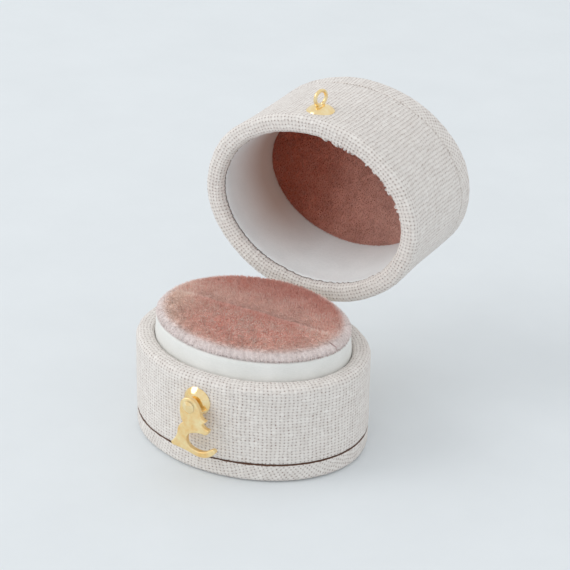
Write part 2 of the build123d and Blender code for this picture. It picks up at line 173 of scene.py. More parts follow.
def swept(name, profile, n, lid=False, planar=False, shape=None):
    """Closed skin: a closed profile of (inset, height, along) carried round the oval.

    The weave follows the wall, or with planar lies flat across a plate and runs on over its edge.
    """
    prof = np.array(profile, float)
    k = len(prof)
    t, s = ring_angles(n)
    share = s / PERIMETER
    inset, height, along = (prof[None, :, i] * np.ones((n, 1)) for i in range(3))
    if shape is not None:
        inset, height = shape(share[:, None], along, inset, height, t[:, None])
    x = (A - inset) * np.cos(t)[:, None]
    y = (B - inset) * np.sin(t)[:, None]
    p = np.stack([x, y, height], -1)
    i, j = np.meshgrid(np.arange(n), np.arange(k), indexing="ij")
    i2, j2 = (i + 1) % n, (j + 1) % k
    faces = np.stack([i * k + j, i2 * k + j, i2 * k + j2, i * k + j2], -1).reshape(-1, 4)
    # weave coordinates, per corner
    around = 2 * round(PERIMETER / (2 * YARN_U))
    u0 = share * around
    u1 = u0 + around / n
    al = prof[:, 2]
    al2 = np.roll(al, -1)
    al2 = np.where(np.abs(al2 - al) > 4 * max(1.0, np.abs(np.diff(al)).max()), al, al2)
    if planar:
        nx, ny = np.cos(t) / A, np.sin(t) / B
        ln = np.hypot(nx, ny)
        nx, ny = nx / ln, ny / ln

        def plan(ii, aa):
            over = np.maximum(aa, 0)
            ins = np.maximum(-aa, 0)
            px = (A - ins) * np.cos(t[ii]) + nx[ii] * over
            py = (B - ins) * np.sin(t[ii]) + ny[ii] * over
            return np.stack([px / YARN_U, py / YARN_V], -1)
        uv = np.stack([plan(i, al[j]), plan(i2, al[j]), plan(i2, al2[j]), plan(i, al2[j])], -2)
    else:
        v0, v1 = al[j] / YARN_V, al2[j] / YARN_V
        uv = np.stack([np.stack([u0[i], v0], -1), np.stack([u1[i], v0], -1),
                       np.stack([u1[i], v1], -1), np.stack([u0[i], v1], -1)], -2)
    pts = p.reshape(-1, 3)
    if lid:
        pts = open_lid(pts)
    return make_mesh(name, pts, faces, uv.reshape(-1, 2))


def with_length(points):
    """Adds the running length to a profile of (inset, height)."""
    out, run = [], 0.0
    for i, (a, b) in enumerate(points):
        if i:
            run += hypot(a - points[i - 1][0], b - points[i - 1][1])
        out.append((a, b, run))
    return out


def runs(points, step):
    """Splits the straight runs of a profile so that no piece is longer than step."""
    out = [points[0]]
    for q in points[1:]:
        p = out[-1]
        n = max(1, int(np.ceil(hypot(q[0] - p[0], q[1] - p[1]) / step)))
        for i in range(1, n + 1):
            out.append((p[0] + (q[0] - p[0]) * i / n, p[1] + (q[1] - p[1]) * i / n))
    return out


# --- material helpers -----------------------------------------------------------------------------

class Graph:
    """Short calls that build one material."""

    def __init__(self, name):
        self.mat = bpy.data.materials.new(name)
        self.mat.use_nodes = True
        self.tree = self.mat.node_tree
        self.tree.nodes.clear()
        out = self.tree.nodes.new("ShaderNodeOutputMaterial")
        self.bsdf = self.tree.nodes.new("ShaderNodeBsdfPrincipled")
        self.tree.links.new(self.bsdf.outputs[0], out.inputs[0])

    def put(self, socket, value):
        if isinstance(value, bpy.types.NodeSocket):
            self.tree.links.new(value, socket)
        else:
            socket.default_value = value

    def set(self, **values):
        for key, value in values.items():
            self.put(self.bsdf.inputs[key.replace("_", " ")], value)

    def math(self, op, a, b=0.0, c=0.0):
        node = self.tree.nodes.new("ShaderNodeMath")
        node.operation = op
        for socket, value in zip(node.inputs, (a, b, c)):
            self.put(socket, value)
        return node.outputs[0]

    def smooth(self, value, low, high):
        node = self.tree.nodes.new("ShaderNodeMapRange")
        node.interpolation_type = "SMOOTHSTEP"
        self.put(node.inputs["Value"], value)
        node.inputs["From Min"].default_value = low
        node.inputs["From Max"].default_value = high
        return node.outputs[0]

    def coords(self):
        return self.tree.nodes.new("ShaderNodeTexCoord").outputs["Object"]

    def uv(self):
        node = self.tree.nodes.new("ShaderNodeUVMap")
        node.uv_map = "weave"
        return node.outputs[0]

    def split(self, vector):
        node = self.tree.nodes.new("ShaderNodeSeparateXYZ")
        self.put(node.inputs[0], vector)
        return node.outputs

    def join(self, x, y, z=0.0):
        node = self.tree.nodes.new("ShaderNodeCombineXYZ")
        for socket, value in zip(node.inputs, (x, y, z)):
            self.put(socket, value)
        return node.outputs[0]

    def noise(self, vector, scale, detail=2.0, rough=0.5):
        node = self.tree.nodes.new("ShaderNodeTexNoise")
        self.put(node.inputs["Vector"], vector)
        node.inputs["Scale"].default_value = scale
        node.inputs["Detail"].default_value = detail
        node.inputs["Roughness"].default_value = rough
        return node.outputs["Fac"]

    def mix(self, fac, a, b, blend="MIX"):
        node = self.tree.nodes.new("ShaderNodeMix")
        node.data_type = "RGBA"
        node.blend_type = blend
        for socket, value in zip((node.inputs[0], node.inputs[6], node.inputs[7]), (fac, a, b)):
            self.put(socket, value)
        return node.outputs[2]

    def ramp(self, fac, stops):
        node = self.tree.nodes.new("ShaderNodeValToRGB")
        self.put(node.inputs[0], fac)
        while len(node.color_ramp.elements) < len(stops):
            node.color_ramp.elements.new(0.5)
        for element, (at, colour) in zip(node.color_ramp.elements, stops):
            element.position = at
            element.color = colour
        return node.outputs[0]

    def attribute(self, name):
        node = self.tree.nodes.new("ShaderNodeAttribute")
        node.attribute_name = name
        return node.outputs["Fac"]

    def bump(self, height, distance, strength=1.0, normal=None):
        node = self.tree.nodes.new("ShaderNodeBump")
        self.put(node.inputs["Height"], height)
        node.inputs["Distance"].default_value = distance
        node.inputs["Strength"].default_value = strength
        if normal is not None:
            self.put(node.inputs["Normal"], normal)
        return node.outputs[0]


def srgb(r, g, b):
    """Scene-linear colour from 0-255 display values."""
    def lin(v):
        v /= 255
        return v / 12.92 if v <= 0.04045 else ((v + 0.055) / 1.055) ** 2.4
    return (lin(r), lin(g), lin(b), 1.0)


# --- materials ------------------------------------------------------------------------------------

def linen_material(name, light, dark, gap, groove_shade_tone):
    """Plain weave in yarn coordinates: warp along v, weft along u, each over and under the other in turn."""
    wander, jitter = 0.9, 0.55           # how far the yarns stray, in yarns
    thinnest, spread = 0.31, 0.22        # half width of a yarn
    rounding, waviness = 0.55, 0.36      # share of a yarn's height from its section and from its wave
    bottom = -0.35
    g = Graph(name)
    u, v, _ = g.split(g.uv())
    low = g.join(g.math("MULTIPLY", u, 0.11), g.math("MULTIPLY", v, 0.11))
    u = g.math("ADD", u, g.math("MULTIPLY", g.math("SUBTRACT", g.noise(low, 1.0, 2), 0.5), wander))
    v = g.math("ADD", v, g.math("MULTIPLY", g.math("SUBTRACT", g.noise(low, 1.7, 2), 0.5), wander))
    near = g.join(g.math("MULTIPLY", u, 0.6), g.math("MULTIPLY", v, 0.6), 12.0)
    u = g.math("MULTIPLY_ADD", g.math("SUBTRACT", g.noise(near, 1.0, 1), 0.5), jitter, u)
    v = g.math("MULTIPLY_ADD", g.math("SUBTRACT", g.noise(near, 1.3, 1), 0.5), jitter, v)
    iu, jv = g.math("FLOOR", u), g.math("FLOOR", v)
    # each yarn's own thickness, with slow changes along it
    warp_id = g.join(g.math("MULTIPLY", iu, 7.31), g.math("MULTIPLY", v, 0.22))
    weft_id = g.join(g.math("MULTIPLY", u, 0.22), g.math("MULTIPLY", jv, 5.17), 3.0)
    fat_u = g.noise(warp_id, 1.0, 1)
    fat_v = g.noise(weft_id, 1.0, 1)
    cu = g.math("ABSOLUTE", g.math("SUBTRACT", g.math("FRACT", u), 0.5))
    cv = g.math("ABSOLUTE", g.math("SUBTRACT", g.math("FRACT", v), 0.5))
    half_u = g.math("MULTIPLY_ADD", fat_u, spread, thinnest)
    half_v = g.math("MULTIPLY_ADD", fat_v, spread, thinnest)
    round_u = g.math("SUBTRACT", 1.0, g.math("POWER", g.math("DIVIDE", cu, half_u), 2.0))
    round_v = g.math("SUBTRACT", 1.0, g.math("POWER", g.math("DIVIDE", cv, half_v), 2.0))
    over_u = g.math("SINE", g.math("MULTIPLY", g.math("ADD", v, iu), pi))
    over_v = g.math("MULTIPLY", g.math("SINE", g.math("MULTIPLY", g.math("ADD", u, jv), pi)), -1.0)
    high_u = g.math("MULTIPLY_ADD", round_u, rounding, g.math("MULTIPLY", over_u, waviness))
    high_v = g.math("MULTIPLY_ADD", round_v, rounding, g.math("MULTIPLY", over_v, waviness))
    height = g.math("MAXIMUM", g.math("MAXIMUM", high_u, high_v), bottom)
    warp_top = g.smooth(g.math("SUBTRACT", high_u, high_v), -0.08, 0.08)
    patchy = g.noise(g.join(g.math("MULTIPLY", u, 0.8), g.math("MULTIPLY", v, 0.8), 7.0), 1.0, 2, 0.7)
    hole = g.math("MULTIPLY", g.smooth(height, 0.36, -0.02), g.smooth(patchy, 0.28, 0.62))
    # spun fibres that run along each yarn
    hair_u = g.noise(g.join(g.math("MULTIPLY", u, 9.0), g.math("MULTIPLY", v, 1.6)), 1.0, 2)
    hair_v = g.noise(g.join(g.math("MULTIPLY", u, 1.6), g.math("MULTIPLY", v, 9.0), 5.0), 1.0, 2)
    hair = g.mix(warp_top, hair_v, hair_u)
    tone = g.mix(warp_top, fat_v, fat_u)
    blot = g.noise(g.join(g.math("MULTIPLY", u, 0.5), g.math("MULTIPLY", v, 0.5), 9.0), 1.0, 3, 0.6)
    shade = g.math("MULTIPLY_ADD", tone, 0.35, g.math("MULTIPLY_ADD", hair, 0.45, g.math("MULTIPLY", blot, 0.35)))
    yarn = g.ramp(shade, [(0.36, dark), (0.76, light)])
    # painted shade in the groove beside a plate, broken up by noise so that it comes and goes
    line_breaks = g.noise(g.join(g.math("MULTIPLY", u, 0.9), g.math("MULTIPLY", v, 0.9), 2.0), 1.0, 3, 0.7)
    drift = g.noise(g.join(g.math("MULTIPLY", u, 0.07), 0.0, 4.0), 1.0, 1)
    deep = g.math("ADD", g.attribute("groove_shade"), g.math("MULTIPLY_ADD", line_breaks, 1.2, g.math("MULTIPLY", drift, 0.7)))
    # painted shade: a yarn is darker where it dips under the crossing yarn
    dip = g.math("MULTIPLY_ADD", g.smooth(height, 0.1, 0.85), 0.13, 0.88)
    yarn = g.mix(1.0, yarn, g.join(dip, dip, dip), "MULTIPLY")
    cloth = g.mix(g.smooth(deep, 1.46, 1.76), g.mix(hole, yarn, gap), groove_shade_tone)
    g.set(Base_Color=cloth, Roughness=g.math("MULTIPLY_ADD", hair, 0.15, 0.8))
    g.set(Specular_IOR_Level=0.25, Sheen_Weight=0.12, Sheen_Roughness=0.5)
    fine = g.bump(hair, 0.03 * MM, 0.8)
    g.set(Normal=g.bump(height, 0.09 * MM, 1.0, fine))
    return g.mat


def satin_material(name, light, dark, rough=0.6):
    """Smooth lining cloth, with painted shade in a brown tone where the dim attribute says so."""
    g = Graph(name)
    at = g.coords()
    x, y, z = g.split(at)
    weave = g.noise(g.join(g.math("MULTIPLY", x, 2500.0), g.math("MULTIPLY", y, 2500.0),
                           g.math("MULTIPLY", z, 9000.0)), 1.0, 2)
    fine = g.noise(at, 9000.0, 3, 0.6)
    cloud = g.noise(at, 260.0, 3, 0.55)
    shade = g.math("MULTIPLY_ADD", weave, 0.35, g.math("MULTIPLY_ADD", fine, 0.25, g.math("MULTIPLY", cloud, 0.5)))
    g.set(Base_Color=g.mix(g.attribute("dim"), g.ramp(shade, [(0.35, dark), (0.75, light)]), srgb(202, 175, 162)))
    g.set(Roughness=g.math("MULTIPLY_ADD", weave, 0.15, rough - 0.07))
    g.set(Specular_IOR_Level=0.35, Sheen_Weight=0.15, Sheen_Roughness=0.4)
    wave = g.bump(cloud, 0.10 * MM, 0.6)
    g.set(Normal=g.bump(weave, 0.02 * MM, 0.25, wave))
    return g.mat


def velvet_material(name, deep, tip, shaded, painted_sheen, pile=False):
    """Velvet cloth, or with pile its fibres. Five attributes each mix in a tone: painted shade, painted sheen, painted
    light, painted sheen on the rolled edge, and a painted shade line.
    """
    g = Graph(name)
    at = g.coords()
    cloud = g.noise(at, 330.0, 3, 0.6)
    tuft = g.noise(at, 1500.0, 3, 0.6)
    fibre = g.noise(at, 7000.0, 2, 0.6)
    tone = g.math("MULTIPLY_ADD", cloud, 0.6, g.math("MULTIPLY_ADD", tuft, 0.25, g.math("MULTIPLY", fibre, 0.15)))
    if pile:
        up = g.attribute("up")
        tone = g.math("MULTIPLY_ADD", g.math("SUBTRACT", g.attribute("tone"), 0.5), 0.55, tone)
        # fibres darker at the root and lighter at the tip: painted shade deep in the pile
        tone = g.math("MULTIPLY_ADD", g.math("SUBTRACT", up, 0.5), 0.40, tone)
    colour = g.ramp(tone, [(0.30, deep), (0.78, tip)])
    rough_tone = g.math("MULTIPLY_ADD", g.math("SUBTRACT", tone, 0.5), 0.5, 0.96)
    # in turn: painted shade, painted sheen, painted light, painted sheen on the rolled edge, and painted shade in the
    # fold and under the edge
    colour = g.mix(g.attribute("shaded"), colour, g.mix(1.0, shaded, rough_tone, "MULTIPLY"))
    colour = g.mix(g.attribute("painted_sheen"), colour, g.mix(1.0, painted_sheen, rough_tone, "MULTIPLY"))
    colour = g.mix(g.attribute("wear_and_painted_light"), colour, g.mix(1.0, srgb(255, 236, 225), rough_tone, "MULTIPLY"))
    soft_tone = g.math("MULTIPLY_ADD", g.math("SUBTRACT", tone, 0.5), 0.5, 0.98)
    colour = g.mix(g.attribute("edge"), colour, g.mix(1.0, srgb(242, 233, 231), soft_tone, "MULTIPLY"))
    colour = g.mix(g.attribute("shade_line"), colour, srgb(150, 104, 98))
    g.set(Base_Color=colour, Roughness=g.math("MULTIPLY_ADD", fibre, 0.1, 0.85))
    g.set(Specular_IOR_Level=0.15, Sheen_Weight=0.9, Sheen_Roughness=0.4, Sheen_Tint=(1.0, 0.87, 0.82, 1.0))
    if not pile:
        g.set(Normal=g.bump(g.math("MULTIPLY_ADD", fibre, 0.5, tuft), 0.12 * MM, 0.8))
    return g.mat


def brass_material(name, bright, deep, rough, brushed):
    """Gilt brass with a fine grain, soft clouds and small pits."""
    g = Graph(name)
    at = g.coords()
    x, y, z = g.split(at)
    long_grain = g.join(g.math("MULTIPLY", x, 9000.0), g.math("MULTIPLY", y, 9000.0), g.math("MULTIPLY", z, 1500.0))
    grain = g.noise(long_grain, 1.0, 3, 0.6)
    cloud = g.noise(at, 900.0, 3, 0.55)
    speck = g.smooth(g.noise(at, 5200.0, 2), 0.66, 0.74)
    g.set(Base_Color=g.mix(g.math("MULTIPLY", speck, 0.35), g.ramp(cloud, [(0.3, deep), (0.7, bright)]), deep))
    g.set(Metallic=1.0)
    wear_and_painted_light = g.math("MULTIPLY_ADD", cloud, 0.16, g.math("MULTIPLY_ADD", grain, brushed * 0.3, rough - 0.1))
    g.set(Roughness=wear_and_painted_light)
    soft = g.bump(cloud, 0.03 * MM, 0.5)
    g.set(Normal=g.bump(grain, 0.012 * MM, brushed, soft))
    return g.mat


def board_material(name, light, dark):
    """Pressed grey board with flecks."""
    g = Graph(name)
    at = g.coords()
    fibre = g.noise(at, 4200.0, 4, 0.65)
    cloud = g.noise(at, 500.0, 3, 0.5)
    fleck = g.smooth(g.noise(at, 2600.0, 2), 0.64, 0.72)
    shade = g.math("MULTIPLY_ADD", fibre, 0.6, g.math("MULTIPLY", cloud, 0.4))
    g.set(Base_Color=g.mix(g.math("MULTIPLY", fleck, 0.4), g.ramp(shade, [(0.35, dark), (0.65, light)]), dark))
    g.set(Roughness=0.9, Specular_IOR_Level=0.2, Normal=g.bump(fibre, 0.05 * MM, 0.6))
    return g.mat


def foam_material(name, light, dark):
    """Open cells."""
    g = Graph(name)
    at = g.coords()
    cells = g.tree.nodes.new("ShaderNodeTexVoronoi")
    g.put(cells.inputs["Vector"], at)
    cells.inputs["Scale"].default_value = 3500.0
    cell = cells.outputs["Distance"]
    g.set(Base_Color=g.ramp(cell, [(0.15, dark), (0.6, light)]), Roughness=0.95, Specular_IOR_Level=0.1)
    g.set(Normal=g.bump(cell, 0.1 * MM, 0.8))
    return g.mat


LINEN = linen_material("linen", srgb(246, 242, 237), srgb(220, 212, 206),
                       srgb(152, 128, 118), srgb(104, 76, 62))
SATIN = satin_material("satin", srgb(243, 243, 240), srgb(226, 227, 223))
LINER = satin_material("liner", srgb(252, 254, 254), srgb(238, 241, 241), 0.65)
# Painted tones of the velvet: sheen on the rear flank of the slot, shade on the cushion's front lip and rear, and light
# and shade across the lid's panel.
SLOT_SHEEN = srgb(242, 214, 204)
CUSHION_SHADE = srgb(226, 154, 137)
LID_LIGHT = srgb(226, 184, 172)
LID_SHADE = srgb(166, 72, 42)
VELVET = velvet_material("velvet", srgb(226, 162, 148), srgb(250, 212, 200), CUSHION_SHADE, SLOT_SHEEN)
PILE = velvet_material("velvet_pile", srgb(250, 200, 186), srgb(255, 248, 242), CUSHION_SHADE, SLOT_SHEEN, pile=True)
DUSK = velvet_material("lid_velvet", srgb(172, 92, 70), srgb(216, 148, 128), LID_SHADE, LID_LIGHT)
DUSK_PILE = velvet_material("lid_velvet_pile", srgb(178, 100, 78), srgb(226, 164, 146), LID_SHADE, LID_LIGHT, pile=True)
GOLD = brass_material("gold_satin", srgb(255, 238, 190), srgb(248, 210, 144), 0.36, 1.0)
POLISH = brass_material("gold_polished", srgb(255, 236, 190), srgb(248, 214, 148), 0.15, 0.12)
BOARD = board_material("grey_board", srgb(172, 160, 146), srgb(128, 116, 104))
FOAM = foam_material("foam", srgb(236, 230, 214), srgb(190, 182, 164))


def dress(ob, material, body):
    """A piece gets its material and slot, and rides on a body."""
    ob.data.materials.append(material)
    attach(ob, body)


def redo(node, material):
    """A kept CAD node gets its finished material."""
    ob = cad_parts[node]
    for s in ob.material_slots:
        s.material = material


# --- linen skins ----------------------------------------------------------------------------------

def wall_profile(wall, height, turn_in, out_round, in_round):
    """Cross-section of a wall's cloth from the seam up, over the rim and down inside, and back inside the cloth."""
    step = 0.5
    outer = [(0.32, 0.0), (0.08, 0.07), (0.0, 0.24)]
    top = arc_points((out_round, height - out_round), out_round, 180, 90, 9)
    back = arc_points((wall - in_round, height - in_round), in_round, 90, 0, 8)
    outside = runs(outer + [(0.0, height - out_round)], step)[:-1] + top + runs(back, step)
    outside = outside + runs([back[-1], (wall, height - turn_in)], step)[1:]
    inside = [(wall - CLOTH, height - turn_in), (wall - CLOTH, height - in_round),
              (wall - in_round, height - CLOTH), (out_round, height - CLOTH), (CLOTH, height - out_round), (CLOTH, 0.0)]
    ring = with_length(outside)
    last = ring[-1][2]
    return ring + [(a, b, last) for a, b in inside]


def skin_shape(seed, rim_height, amount, mortise, jag=None, flare=0.0):
    """Small unevenness of glued cloth, with the hinge's recess at the back, a flare at the mouth and a jagged edge."""
    wide = ripple(seed, 9, 2, 14, amount)
    close = ripple(seed + 1, 14, 24, 70, amount * 0.5)
    count = 205
    ends = np.random.default_rng(seed + 2).uniform(-1, 1, count)

    def thread(share):
        return ends[(share * count).astype(int) % count]

    def f(share, along, inset, height, t):
        inset = inset - wide(share, 0.35 * along) - close(share, 0.8 * along)
        near_mouth = np.clip(1 - (height - MOUTH) / 8.0, 0, 1)
        inset = inset - flare * near_mouth ** 2 * np.clip(1 - inset / 1.5, 0, 1)
        rise = close(share + 0.13, 0.0) * np.clip((height - rim_height + 1.5) / 1.5, 0, 1)
        height = height + rise + 0.05 * thread(share) * np.clip(1 - along / 0.3, 0, 1)
        x = (A - inset) * np.cos(t)
        at_back = (np.sin(t) > 0.9) & (np.abs(x) < MORTISE_HALF) & (height > mortise[0]) & (height < mortise[1])
        depth = B - np.abs((B - 0.25) / np.maximum(np.sin(t), 0.3))
        inset = np.where(at_back & (inset < depth), depth, inset)
        if jag is not None:
            inset = jag(share, along, inset, t)
        return inset, height
    return f


def flatten(ob, lid):
    """Flat shading on the level faces, so that no edge beside them bends their light."""
    up = Vector((0, sin(OPEN), cos(OPEN))) if lid else Vector((0, 0, 1))
    for polygon in ob.data.polygons:
        polygon.use_smooth = abs(polygon.normal.dot(up)) < 0.9999


def groove_shade(ob, height, lid, cut_edge=None):
    """Painted shade where the cloth runs into the groove between wall and plate, and painted shadow above the inner cut
    edge.
    """
    co = coordinates(ob)
    at = closed_height(co) if lid else co[:, 2]
    depth = np.clip(1.6 - np.abs(at - height) / 0.19, 0, 1)
    depth = depth * (0.46 if lid else 1.0)
    if cut_edge is not None:
        y = HINGE_Y - (co[:, 2] - HINGE_Z)
        well_in = 2.3
        inside = np.hypot(co[:, 0] / (A - well_in), y / (B - well_in)) < 1
        depth = np.maximum(depth, inside * np.clip(1.9 - np.abs(at - cut_edge) / 0.2, 0, 1))
    add_attribute(ob, "groove_shade", depth)


def base_wall():
    """Linen of the base's wall, turned well down inside behind the collar."""
    section = wall_profile(WALL, RIM - PLATE, turn_in=6.0, out_round=1.1, in_round=0.9)
    prof = [(a, b + PLATE, c) for a, b, c in section]
    shape = skin_shape(11, RIM, amount=0.05, mortise=(MORTISE_LOW, 16.0))
    ob = swept("linen_base_wall", prof, 620, shape=shape)
    groove_shade(ob, PLATE, False)
    dress(ob, LINEN, "base")
    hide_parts("base_wall_linen")


def frayed_edge(seed, start):
    """Raw edge of the turned cloth inside the lid's mouth: every yarn ends at its own place.

    start is where the last of the cloth begins, FRAYED before its end.
    """
    count = 260
    steps = np.random.default_rng(seed).uniform(0, 1, count) ** 1.5

    def f(share, along, inset, t):
        out = steps[(share * count).astype(int) % count] * np.ones_like(along)
        late = np.clip((along - start) / 0.5, 0, 1)
        # the threads are loose along the front right of the mouth
        turn = (t / pi) % 2
        loose = np.clip((turn - 1.5) / 0.06, 0, 1) * np.clip((1.97 - turn) / 0.05, 0, 1)
        tuft = np.where(out > 0.45, out, 0.15 * out) * np.clip(along - start + FRAYED, 0, 0.35)
        return inset + 0.14 * out * late + 1.35 * loose * tuft
    return f


def lid_wall():
    """Linen of the lid's wall, cut short inside the mouth."""
    section = wall_profile(LID_WALL + 0.1, LID_H, turn_in=1.25, out_round=0.95, in_round=0.9)
    ring = [(a, SEAM - b, c) for a, b, c in section]
    start = max(c for _, _, c in ring) - FRAYED
    above_all = 99.0
    shape = skin_shape(31, above_all, amount=0.035, mortise=(MOUTH - 0.2, MORTISE_HIGH),
                       jag=frayed_edge(5, start), flare=0.22)
    ob = swept("linen_lid_wall", ring, 780, lid=True, shape=shape)
    groove_shade(ob, SEAM, True, MOUTH + 1.3)
    dress(ob, LINEN, "lid")
    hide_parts("lid_wall_linen")


def plate(name, thickness, lid):
    """Cloth over an end plate: flat face, rounded edge, side, and turned in on the hidden face."""
    edge = PLATE_ROUND
    face = [(i, 0.0, -i) for i in (FACE_HOLE, 12, 9, 7, 5, 3.5, 2.4, 1.6, 1.1)]
    corner = [(edge - edge * sin(radians(q)), edge - edge * cos(radians(q)), edge * radians(q) - edge)
              for q in range(0, 91, 10)]
    side = [(0.0, z, z - edge + edge * (pi / 2 - 1)) for z in np.linspace(edge + 0.2, thickness - 0.28, 6)]
    run = side[-1][2]
    seam = [(0.04, thickness - 0.12, run + 0.17), (0.15, thickness - 0.02, run + 0.33), (0.35, thickness, run + 0.53)]
    hidden = [(3.0, thickness, run + 3.2), (3.0, thickness - CLOTH, run + 3.2), (1.2, thickness - CLOTH, run),
              (CLOTH, edge, 0.0), (1.2, CLOTH, 0.0)]
    prof = face + corner + side + seam + hidden
    wide = ripple(61 if lid else 51, 9, 2, 12, 0.03)
    close = ripple(62 if lid else 52, 14, 24, 70, 0.016)

    def shape(share, along, inset, height, t):
        rim = np.clip((along + 1.5) / 1.5, 0, 1)
        return inset - (wide(share, 0.3 * along) + close(share, along)) * rim, height
    ob = swept(name, [(a, TOP - z if lid else z, c) for a, z, c in prof], 620, lid=lid, planar=True, shape=shape)
    groove_shade(ob, SEAM if lid else PLATE, lid)
    for piece in (ob, flat_cap(name + "_face", lid)):
        flatten(piece, lid)
        dress(piece, LINEN, "lid" if lid else "base")
    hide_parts("lid_plate_linen" if lid else "base_plate_linen")


def flat_cap(name, lid):
    """Middle of a plate's cloth, which the swept skin leaves open."""
    n, rings = 160, 10
    t, _ = ring_angles(n)
    pts, uv_of = [], []
    for level in (0.0, CLOTH):
        for r in range(rings + 1):
            q = (r / rings) * (1 if level == 0.0 else 0.999) + 1e-6
            x, y = q * (A - FACE_HOLE) * np.cos(t), q * (B - FACE_HOLE) * np.sin(t)
            z = np.full(n, TOP - level if lid else level)
            pts.append(np.stack([x, y, z], -1))
            uv_of.append(np.stack([x / YARN_U, y / YARN_V], -1))
    pts, uv_of = np.concatenate(pts), np.concatenate(uv_of)
    faces = []
    for row in range(2 * rings + 1):
        a, b = (rings, 2 * rings + 1) if row == rings else (row, row + 1)
        for i in range(n):
            j = (i + 1) % n
            faces.append((a * n + i, a * n + j, b * n + j, b * n + i))
    uv = uv_of[np.array(faces)]
    return make_mesh(name, open_lid(pts) if lid else pts, faces, uv.reshape(-1, 2))


# --- collar, lining and the lid's panel --------------------------------------------------------------

def collar():
    """Smooth skin of the ring that stands above the rim, a little uneven towards its top."""
    out = [(WALL, 10.5), (WALL, RIM), (WALL + 0.17, COLLAR_TOP - 0.3), (WALL + 0.24, COLLAR_TOP - 0.1),
           (WALL + 0.42, COLLAR_TOP), (WALL + COLLAR, COLLAR_TOP), (WALL + COLLAR, 10.5)]
    prof = with_length(runs(out, 0.5))
    wide = ripple(71, 8, 2, 11, 0.03)
    close = ripple(72, 8, 12, 34, 0.012)

    def shape(share, along, inset, height, t):
        up = np.clip((height - RIM) / 2.5, 0, 1)
        return inset - (wide(share, 0.2 * along) + close(share, 0.4 * along)) * up, height + 0.6 * wide(share, 0.0) * up
    ob = swept("satin_collar", prof, 300, shape=shape)
    dress(ob, SATIN, "base")
    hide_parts("collar_lining")


def lining():
    """The lid's lining, which draws in towards the plate."""
    low = MOUTH + 1.38
    out = [(LID_WALL + 0.06, low + 0.12), (LID_WALL + 0.06, MOUTH + 3.5), (LID_WALL + 1.06, SEAM),
           (LID_WALL - 0.35, SEAM), (LID_WALL - 0.35, low), (LID_WALL - 0.05, low)]
    prof = with_length(runs(out, 0.6))
    wide = ripple(81, 8, 2, 11, 0.035)

    def shape(share, along, inset, height, t):
        return inset + 0.03 + np.abs(wide(share, 0.2 * along)), height
    ob = swept("lid_liner", prof, 300, lid=True, shape=shape)
    co = coordinates(ob)
    # painted shade, brown, on the left side of the lining and deeper into the lid
    deep = np.clip((closed_height(co) - MOUTH - 2.0) / 9.0, 0, 1)
    add_attribute(ob, "dim", deep * np.clip((-co[:, 0] - 3.0) / 9.0, 0, 1))
    dress(ob, LINER, "lid")
    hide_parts("lid_lining")


def grow_pile(name, points, normals, marks, seed, length, width, lean, material, body):
    """One mesh of short bent fibres, each a tapered blade of five points on the cloth under it.

    At the rolled edge the fibres are shorter, hang down and follow its ribs.
    """
    rng = np.random.default_rng(seed)
    n = len(points)
    clump = np.stack([
        np.sin(points[:, 0] * 3.1 + np.sin(points[:, 1] * 2.3) * 1.7),
        np.sin(points[:, 1] * 2.7 + np.sin(points[:, 0] * 2.1 + 1.0) * 1.9),
        np.sin(points[:, 2] * 3.3 + points[:, 0] * 1.3)], -1)
    ribs = marks.pop("rib", None)
    edge = marks.get("edge", np.zeros(n))[:, None]
    lean = np.atleast_2d(lean)
    lean = lean * (1 - edge) + np.array([[0.05, 0.0, -1.1]]) * edge
    lean_dir = lean + 0.08 * clump + rng.normal(0, 0.22, (n, 3))
    d = normals + lean_dir
    d /= np.linalg.norm(d, axis=1)[:, None]
    side = np.cross(d, rng.normal(0, 1, (n, 3)))
    side /= np.linalg.norm(side, axis=1)[:, None]
    h = (length * rng.uniform(0.72, 1.08, n))[:, None] * (1 - 0.4 * edge)
    w = (width * rng.uniform(0.8, 1.2, n))[:, None]
    bend = d + 0.35 * lean
    bend /= np.linalg.norm(bend, axis=1)[:, None]
    mid = points + d * h * 0.55
    verts = np.stack([points - side * w / 2, points + side * w / 2,
                      mid + side * w * 0.42, mid - side * w * 0.42, mid + bend * h * 0.45], 1)
    base = np.arange(n)[:, None] * 5
    tris = np.concatenate([base + np.array([[0, 1, 2]]), base + np.array([[0, 2, 3]]), base + np.array([[3, 2, 4]])], 1)
    ob = make_mesh(name, verts.reshape(-1, 3), tris.reshape(-1, 3))
    tone = rng.uniform(0, 1, n)
    if ribs is not None:
        tone = tone + edge[:, 0] * 0.7 * (ribs - tone)
    add_attribute(ob, "tone", np.repeat(tone, 5))
    for key, values in marks.items():
        add_attribute(ob, key, np.repeat(values, 5))
    # runs from root to tip; the material paints shade towards the roots
    add_attribute(ob, "up", np.tile([0.0, 0.0, 0.6, 0.6, 1.0], n))
    dress(ob, material, body)


def sample(ob, count, seed, keep):
    """Random points on a mesh with their normals, by area, where keep says so. In millimetres."""
    me = ob.data
    me.calc_loop_triangles()
    co = coordinates(ob)
    tri = np.empty(len(me.loop_triangles) * 3, np.int32)
    me.loop_triangles.foreach_get("vertices", tri)
    tri = tri.reshape(-1, 3)
    a, b, c = co[tri[:, 0]], co[tri[:, 1]], co[tri[:, 2]]
    cross = np.cross(b - a, c - a)
    area = np.linalg.norm(cross, axis=1) / 2
    normal = cross / np.maximum(2 * area, 1e-12)[:, None]
    mid = (a + b + c) / 3
    area = np.where(keep(mid, normal), area, 0)
    rng = np.random.default_rng(seed)
    pick = rng.choice(len(tri), count, p=area / area.sum())
    r1, r2 = np.sqrt(rng.uniform(0, 1, count))[:, None], rng.uniform(0, 1, count)[:, None]
    pts = (1 - r1) * a[pick] + r1 * (1 - r2) * b[pick] + r1 * r2 * c[pick]
    return pts, normal[pick]


